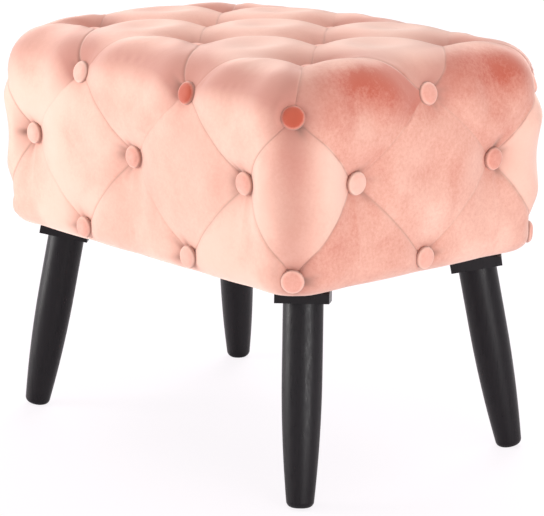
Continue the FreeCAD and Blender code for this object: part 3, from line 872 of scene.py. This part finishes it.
def staple_pattern():
    """Wire staple, its crown along X just under the cloth and its legs going up."""
    half, wire, thickness, leg = 5.5 * MM, 1.3 * MM, 0.7 * MM, 4 * MM
    outline = ((-half, -thickness), (half, -thickness), (half, leg), (half - wire, leg), (half - wire, 0),
               (wire - half, 0), (wire - half, leg), (-half, leg))
    mesh = bpy.data.meshes.new("staple")
    with edited(mesh) as work:
        side = work.faces.new([work.verts.new((x, -wire / 2, z)) for x, z in outline])
        other = bmesh.ops.extrude_face_region(work, geom=[side])["geom"]
        moved = [p for p in other if isinstance(p, bmesh.types.BMVert)]
        bmesh.ops.translate(work, verts=moved, vec=(0, wire, 0))
        bmesh.ops.recalc_face_normals(work, faces=work.faces)
    return mesh


def staple_tree():
    """Sets staples at an even spacing along edges, each nearly in line with its edge."""
    tree, given = pattern_tree("staple_row", Spacing="Float")
    path = add(tree, "GeometryNodeMeshToCurve", {"Mesh": given.outputs["Geometry"]})
    spaced = add(tree, "GeometryNodeResampleCurve", {"Curve": path, "Length": given.outputs["Spacing"]},
                 mode="LENGTH")
    along = add(tree, "GeometryNodeInputTangent")
    aligned = add(tree, "FunctionNodeAlignRotationToVector", {"Vector": along}, axis="X")
    return end_tree(tree, given, spaced, aligned, -0.12, 0.12)


def staple_row(finish):
    """Staples along the dust cloth's edges, clear of the leg plates."""
    low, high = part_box("dust_cover")
    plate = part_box("leg_plate_front_right")
    margin, clear, spacing = 7 * MM, 8 * MM, 34 * MM
    run_x, run_y = plate[0].x - clear, -plate[1].y - clear
    ends = []
    for side in (-1, 1):
        x, y = side * (high.x - margin), side * (high.y - margin)
        ends += [(-run_x, y, low.z), (run_x, y, low.z), (x, -run_y, low.z), (x, run_y, low.z)]
    base = bpy.data.meshes.new("staple_lines")
    base.from_pydata(ends, [(k, k + 1) for k in range(0, len(ends), 2)], [])
    pattern = linked("staple_pattern", staple_pattern())
    mesh = grown("staple_lines", base, staple_tree(), {
        "Pattern": pattern, "Spacing": spacing, "Finish": zinc_plate(finish), "Seed": SEED})
    bpy.data.objects.remove(pattern)
    return linked("dust_cover_staples", mesh)


def dust_cloth_sheet(finish):
    """Thin cloth stretched under the base board, rippling a little away from its edges."""
    low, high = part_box("dust_cover")
    across, along, thickness, gap, ripple = 64, 44, 0.4 * MM, 0.45 * MM, 0.12 * MM
    wave_x, wave_y, taut = 19 * MM, 23 * MM, 40 * MM
    columns, rows = np.linspace(low.x, high.x, across + 1), np.linspace(low.y, high.y, along + 1)
    x, y = (g.ravel() for g in np.meshgrid(columns, rows, indexing="ij"))
    from_edge = np.minimum(np.minimum(x - low.x, high.x - x), np.minimum(y - low.y, high.y - y))
    waves = (np.sin(x / wave_x) + np.sin(y / wave_y)) * np.clip(from_edge / taut, 0, 1)
    faces = grid_faces(across, along)[:, [0, 3, 2, 1]]
    mesh = bpy.data.meshes.new("dust_cloth")
    mesh.from_pydata(np.column_stack([x, y, low.z + gap + ripple * waves]), [], faces.tolist())
    mesh.materials.append(dust_cloth(finish))
    mesh.shade_smooth()
    source = linked("dust_cloth_sheet", mesh)
    wall = source.modifiers.new("thickness", "SOLIDIFY")
    wall.thickness, wall.offset = thickness, 1.0
    return linked("dust_cover_cloth", baked(source, "dust_cover_cloth"))


def foam_sheet(node, made):
    """Foam with its cut edges a little rounded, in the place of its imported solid."""
    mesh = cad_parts[node].data.copy()
    with edited(mesh) as work:
        bmesh.ops.remove_doubles(work, verts=work.verts, dist=SOLID_WELD)
        bmesh.ops.dissolve_limit(work, angle_limit=math.radians(2), verts=work.verts, edges=work.edges)
    only_material(mesh, made)
    source = linked(node + "_source", mesh)
    edge = source.modifiers.new("edge", "BEVEL")
    edge.width, edge.segments = 1.5 * MM, 3
    edge.limit_method, edge.angle_limit = "ANGLE", math.radians(60)
    return linked(node + "_sheet", baked(source, node + "_sheet"))


# Materials


def empty_tree(owner):
    """Node tree of a material or world, with nothing in it."""
    owner.use_nodes = True
    owner.node_tree.nodes.clear()
    return owner.node_tree


def material(name):
    """Node material with a Principled shader; returns it, its tree, the shader and the Object coordinates."""
    made = bpy.data.materials.new(name)
    tree = empty_tree(made)
    shader = add(tree, "ShaderNodeBsdfPrincipled")
    add(tree, "ShaderNodeOutputMaterial", {"Surface": shader})
    return made, tree, shader, add(tree, "ShaderNodeTexCoord").outputs["Object"]


def per_mm(size):
    """Texture scale, per metre, that gives a pattern of that size in millimetres."""
    return 1 / (size * MM)


def opaque(rgb, brightness=1.0):
    """Colour, made brighter or darker, with full alpha."""
    return tuple(brightness * c for c in rgb) + (1.0,)


def noise(tree, place, scale, detail, roughness=0.5, distortion=0.0):
    """Noise texture of a given scale."""
    return add(tree, "ShaderNodeTexNoise", {
        "Vector": place, "Scale": scale, "Detail": detail, "Roughness": roughness, "Distortion": distortion})


def maths(tree, operation, *values):
    """Number worked out from others."""
    return add(tree, "ShaderNodeMath", dict(enumerate(values)), operation=operation)


def mapped(tree, value, low, high, start=0.0, end=1.0):
    """Number brought from the range of start to end to that of low to high."""
    return add(tree, "ShaderNodeMapRange", {
        "Value": value, "From Min": start, "From Max": end, "To Min": low, "To Max": high})


def blend(tree, share, first, second):
    """Colour on the way from the first to the second."""
    return add(tree, "ShaderNodeMix", {0: share, 6: first, 7: second}, data_type="RGBA").outputs[2]


def relief(tree, height, strength, distance, **more):
    """Fine relief of a surface by the height of a texture."""
    return add(tree, "ShaderNodeBump", {"Height": height, "Strength": strength, "Distance": distance, **more})


def velvet(finish, name="cut_pile_velvet", middle=None):
    """Cut-pile velvet: a short, dense pile whose lean gives pale and deep patches, with a soft sheen.
    Its colour also carries the painted shade and painted sheen stored on the cloth and the buttons.
    """
    made, tree, shader, place = material(name)
    tone, rim_painted_sheen, ruffle, fold, painted_shade = (
        add(tree, "ShaderNodeAttribute", attribute_name=stored).outputs["Fac"]
        for stored in ("pile_tone_and_painted_light", "rim_painted_sheen", "ruffle", "fold", "painted_shade"))
    broad = noise(tree, place, per_mm(95), 3.0, distortion=0.6)
    brushed = noise(tree, place, per_mm(26), 4.0, 0.62, 0.8)
    # Ruffled pile: patches of about 3 mm, down to single tufts about 0.3 mm apart
    pile = noise(tree, place, per_mm(3.4), 4.0, 0.75)
    # The stored tone, partly painted light, and the buttons' ring of painted sheen
    tone = maths(tree, "ADD", tone, rim_painted_sheen)
    # Each noise is 0.5 on average, which leaves the fine tone at 0 on average
    fine = maths(tree, "MULTIPLY_ADD", brushed, 0.5, pile)
    fine = maths(tree, "SUBTRACT", fine, 0.75)
    fine = maths(tree, "MULTIPLY", fine, ruffle)
    lean = maths(tree, "MULTIPLY_ADD", broad, 0.26, 0.2)
    lean = maths(tree, "MULTIPLY_ADD", fine, 0.21, lean)
    lean = maths(tree, "MULTIPLY_ADD", tone, 0.2, lean)
    nap = add(tree, "ShaderNodeValToRGB", {"Fac": lean})
    stops = nap.color_ramp.elements
    stops[0].position, stops[0].color = 0.11, opaque(finish.deep_nap_and_shade)
    stops[1].position, stops[1].color = 0.6, opaque(finish.pale_nap_and_sheen)
    stops.new(0.34).color = opaque(middle or finish.nap_mid)
    # Painted shade in the dips, then down in the folds
    shaded_nap = blend(tree, painted_shade, nap, opaque(finish.dull))
    cloth = blend(tree, fold, shaded_nap, opaque(finish.fold))
    waves = relief(tree, brushed, 0.12, 2.0 * MM)
    fibre = relief(tree, pile, 0.25, 0.35 * MM, Normal=waves)
    feed(tree, shader, {
        "Base Color": cloth, "Normal": fibre, "Roughness": 0.92, "Specular IOR Level": 0.18,
        "Sheen Weight": 1.0, "Sheen Roughness": 0.5, "Sheen Tint": opaque(finish.sheen)})
    return made


def lacquer(finish):
    """Satin black lacquer sprayed on turned beech: dark, with the grain just showing through the film."""
    made, tree, shader, place = material("satin_lacquered_beech")
    # Pores about 0.8 mm wide and 20 mm long, along the leg
    drawn = add(tree, "ShaderNodeMapping", {
        "Vector": place, "Scale": (per_mm(1.6), per_mm(1.6), per_mm(34))})
    grain = noise(tree, drawn, 1.0, 4.0, 0.6)
    satin = mapped(tree, grain, 0.24, 0.5, start=0.3, end=0.7)
    film = blend(tree, grain, opaque(finish.lacquer), opaque(finish.lacquer, 2.6))
    raised = relief(tree, grain, 0.3, 0.2 * MM)
    feed(tree, shader, {
        "Base Color": film, "Roughness": satin, "Normal": raised, "Specular IOR Level": 0.24})
    return made


def wood(finish, name, scale):
    """Planed or rotary-cut wood: a pale face with long, wavering darker lines of late wood."""
    made, tree, shader, place = material(name)
    drawn = add(tree, "ShaderNodeMapping", {"Vector": place, "Scale": scale})
    grain = noise(tree, drawn, 1.0, 5.0, 0.6, 0.7)
    face = blend(tree, grain, opaque(finish.ply_pale), opaque(finish.ply_dark))
    raised = relief(tree, grain, 0.2, 0.3 * MM)
    feed(tree, shader, {"Base Color": face, "Normal": raised, "Roughness": 0.7})
    return made


def open_cell_foam(finish):
    """Polyurethane foam: matt, pale, with its cut cells as fine pits, painted darker as painted shade in
    them.
    """
    made, tree, shader, place = material("open_cell_foam")
    # Cells are really about 0.5 mm across, and drawn coarser so that they show
    cells = add(tree, "ShaderNodeTexVoronoi", {"Vector": place, "Scale": per_mm(1.4)}).outputs["Distance"]
    # Painted shade: the pits are darker
    pits = blend(tree, cells, opaque(finish.foam, 0.72), opaque(finish.foam))
    hollow = relief(tree, cells, 0.5, 0.5 * MM)
    feed(tree, shader, {"Base Color": pits, "Normal": hollow, "Roughness": 0.95})
    return made


def dust_cloth(finish):
    """Spun-bonded polypropylene: thin black cloth embossed with a fine grid of bonding points."""
    made, tree, shader, place = material("spun_bonded_cloth")
    # Bonding points are really about 1 mm apart, and drawn at nearly twice that so that they show
    dots = add(tree, "ShaderNodeTexVoronoi", {"Vector": place, "Scale": per_mm(1.9), "Randomness": 0.15})
    fibres = noise(tree, place, per_mm(3.5), 5.0, 0.7)
    web = blend(tree, fibres, opaque(finish.dust_cloth), opaque(finish.dust_cloth, 2.4))
    embossed = relief(tree, dots.outputs["Distance"], 0.4, 0.3 * MM)
    feed(tree, shader, {"Base Color": web, "Normal": embossed, "Roughness": 0.85})
    return made


def zinc_plate(finish):
    """Bright zinc plating on drawn steel: grey metal with a faint cloudy bloom."""
    made, tree, shader, place = material("zinc_plated_steel")
    bloom = noise(tree, place, per_mm(4), 3.0)
    dull = mapped(tree, bloom, 0.28, 0.48)
    feed(tree, shader, {"Base Color": opaque(finish.zinc), "Roughness": dull, "Metallic": 1.0})
    return made


def dress(nodes, made):
    """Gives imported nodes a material."""
    for node in nodes:
        only_material(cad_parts[node].data, made)


# Operators


def stands_for(piece, node):
    """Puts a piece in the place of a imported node."""
    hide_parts(node)
    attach(piece, BODY)


class FOOTSTOOL_OT_cover(bpy.types.Operator):
    """Make the tufted velvet cover"""

    bl_idname = "footstool.cover"
    bl_label = "Velvet Cover"

    def execute(self, context):
        cover = velvet_cover(context.scene.footstool_seat, context.scene.footstool_finish)
        stands_for(cover, "velvet_cover")
        return {"FINISHED"}


class FOOTSTOOL_OT_buttons(bpy.types.Operator):
    """Set the covered buttons in their tufts"""

    bl_idname = "footstool.buttons"
    bl_label = "Covered Buttons"

    def execute(self, context):
        seat, finish = context.scene.footstool_seat, context.scene.footstool_finish
        tree = button_tree()
        pattern = linked("button_pattern", button_pattern())
        cloth = velvet(finish, "button_velvet", finish.button)
        for level, node in BUTTON_NODES.items():
            stands_for(covered_buttons(seat, level, tree, pattern, cloth), node)
        bpy.data.objects.remove(pattern)
        return {"FINISHED"}


class FOOTSTOOL_OT_padding(bpy.types.Operator):
    """Lay the foam on the box"""

    bl_idname = "footstool.padding"
    bl_label = "Foam"

    def execute(self, context):
        made = open_cell_foam(context.scene.footstool_finish)
        for node in FOAM_NODES:
            sheet = foam_sheet(node, made)
            stands_for(sheet, node)
        return {"FINISHED"}


class FOOTSTOOL_OT_box(bpy.types.Operator):
    """Finish the plywood box, its posts and its fixings"""

    bl_idname = "footstool.box"
    bl_label = "Plywood Box"

    def execute(self, context):
        finish = context.scene.footstool_finish
        # Late wood about 5 mm apart, in lines about 160 mm long
        fine, long = per_mm(5), per_mm(160)
        dress(LONG_BOARDS, wood(finish, "plywood_lengthways", (long, fine, fine)))
        dress(SHORT_BOARDS, wood(finish, "plywood_crossways", (fine, long, fine)))
        dress(["corner_post_" + c for c in CORNERS], wood(finish, "planed_softwood", (fine, fine, long)))
        dress(STEEL_NODES, zinc_plate(finish))
        return {"FINISHED"}


class FOOTSTOOL_OT_legs(bpy.types.Operator):
    """Lacquer the legs and their plates"""

    bl_idname = "footstool.legs"
    bl_label = "Legs and Plates"

    def execute(self, context):
        made = lacquer(context.scene.footstool_finish)
        dress(["leg_" + c for c in CORNERS] + ["leg_plate_" + c for c in CORNERS], made)
        return {"FINISHED"}


class FOOTSTOOL_OT_underside(bpy.types.Operator):
    """Stretch and staple the dust cloth under the seat"""

    bl_idname = "footstool.underside"
    bl_label = "Dust Cloth"

    def execute(self, context):
        finish = context.scene.footstool_finish
        sheet = dust_cloth_sheet(finish)
        stands_for(sheet, "dust_cover")
        staples = staple_row(finish)
        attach(staples, BODY)
        return {"FINISHED"}


def lamp(name, power, size, place, tint):
    """Large soft lamp that points at the middle of the seat."""
    light = bpy.data.lights.new(name, "AREA")
    light.shape, light.size, light.energy, light.color = "DISK", size, power, tint
    holder = linked(name, light)
    holder.location = place
    holder.rotation_euler = (SEAT_MIDDLE - Vector(place)).to_track_quat("-Z", "Y").to_euler()


def studio_floor():
    """Wide white floor that keeps the stool's shadow but shows as almost pure white."""
    mesh = bpy.data.meshes.new("studio_floor")
    reach = 12.0
    corners = [(-reach, -reach, 0), (reach, -reach, 0), (reach, reach, 0), (-reach, reach, 0)]
    mesh.from_pydata(corners, [], [(0, 1, 2, 3)])
    made = bpy.data.materials.new("white_studio_floor")
    tree = empty_tree(made)
    seen = add(tree, "ShaderNodeLightPath").outputs["Is Camera Ray"]
    place = add(tree, "ShaderNodeTexCoord").outputs["Object"]
    away = add(tree, "ShaderNodeVectorMath", {0: place}, operation="LENGTH").outputs["Value"]
    # The shadow shows near the stool; further off the floor runs into the white background
    shown = mapped(tree, away, 0.8, 1.0, start=0.5, end=1.6)
    share = mapped(tree, seen, 0.3, shown)
    paint = add(tree, "ShaderNodeBsdfDiffuse", {"Color": (0.88, 0.84, 0.88, 1)})
    glow = add(tree, "ShaderNodeEmission", {"Color": (1, 0.97, 0.995, 1), "Strength": 1.09})
    both = add(tree, "ShaderNodeMixShader", {0: share, 1: paint, 2: glow})
    add(tree, "ShaderNodeOutputMaterial", {"Surface": both})
    mesh.materials.append(made)
    return linked("studio_floor", mesh)


def white_world(strength):
    """World that lights evenly and is plain white to the camera and in reflections."""
    bpy.context.scene.world = bpy.data.worlds.new("white_studio")
    tree = empty_tree(bpy.context.scene.world)
    ray = add(tree, "ShaderNodeLightPath").outputs
    shown = maths(tree, "MAXIMUM", ray["Is Camera Ray"], ray["Is Glossy Ray"])
    shown = maths(tree, "MAXIMUM", shown, ray["Is Transmission Ray"])
    level = mapped(tree, shown, strength, 1.0)
    sky = add(tree, "ShaderNodeBackground", {"Color": (1, 1, 1, 1), "Strength": level})
    add(tree, "ShaderNodeOutputWorld", {"Surface": sky})


class FOOTSTOOL_OT_stage(bpy.types.Operator):
    """Set up the floor, lamps and camera"""

    bl_idname = "footstool.stage"
    bl_label = "Studio"

    def execute(self, context):
        stage = context.scene.footstool_stage
        studio_floor()
        white_world(stage.sky)
        lamp("key_lamp", stage.key_power, 1.6, (-1.9, -2.1, 0.5), (1.0, 0.985, 0.97))
        lamp("top_lamp", stage.top_power, 2.2, (0.3, -0.1, 2.4), (1.0, 1.0, 1.0))
        lamp("fill_lamp", stage.fill_power, 0.9, (1.5, -0.3, 0.12), (1.0, 0.99, 0.99))
        lamp("back_lamp", stage.back_power, 2.0, (-1.5, 1.9, 2.2), (1.0, 0.98, 0.98))
        turn, rise = stage.azimuth, stage.elevation
        back = Vector((math.sin(turn) * math.cos(rise), -math.cos(turn) * math.cos(rise), math.sin(rise)))
        right = Vector((math.cos(turn), math.sin(turn), 0))
        aim = Vector((0, 0, stage.aim_height)) + right * stage.aim_right
        camera = linked("camera", bpy.data.cameras.new("camera"))
        camera.data.lens = stage.lens
        camera.data.sensor_width = 36.0
        camera.location = aim + back * stage.distance
        camera.rotation_euler = (-back).to_track_quat("-Z", "Y").to_euler()
        context.scene.camera = camera
        context.scene.view_settings.view_transform = "Standard"
        return {"FINISHED"}


OPERATORS = (FOOTSTOOL_OT_cover, FOOTSTOOL_OT_buttons, FOOTSTOOL_OT_padding, FOOTSTOOL_OT_box,
             FOOTSTOOL_OT_legs, FOOTSTOOL_OT_underside, FOOTSTOOL_OT_stage)
GROUPS = {"footstool_seat": FootstoolSeat, "footstool_finish": FootstoolFinish,
          "footstool_stage": FootstoolStage}


class FOOTSTOOL_PT_panel(bpy.types.Panel):
    """Lists the footstool's pieces and their sizes and colours"""

    bl_label = "Tufted Footstool"
    bl_idname = "FOOTSTOOL_PT_panel"
    bl_space_type = "VIEW_3D"
    bl_region_type = "UI"
    bl_category = "Footstool"

    def draw(self, context):
        for operator in OPERATORS:
            self.layout.operator(operator.bl_idname)
        for group in GROUPS:
            settings = getattr(context.scene, group)
            for name in settings.bl_rna.properties.keys():
                if name not in ("rna_type", "name"):
                    self.layout.prop(settings, name)


def register():
    for made in (*GROUPS.values(), *OPERATORS, FOOTSTOOL_PT_panel):
        bpy.utils.register_class(made)
    for name, group in GROUPS.items():
        setattr(bpy.types.Scene, name, PointerProperty(type=group))


def unregister():
    for name in GROUPS:
        delattr(bpy.types.Scene, name)
    for made in (FOOTSTOOL_PT_panel, *reversed(OPERATORS), *reversed(list(GROUPS.values()))):
        bpy.utils.unregister_class(made)


def main():
    register()
    bpy.ops.footstool.cover()
    bpy.ops.footstool.buttons()
    bpy.ops.footstool.padding()
    bpy.ops.footstool.box()
    bpy.ops.footstool.legs()
    bpy.ops.footstool.underside()
    bpy.ops.footstool.stage()


if __name__ == "__main__":
    main()
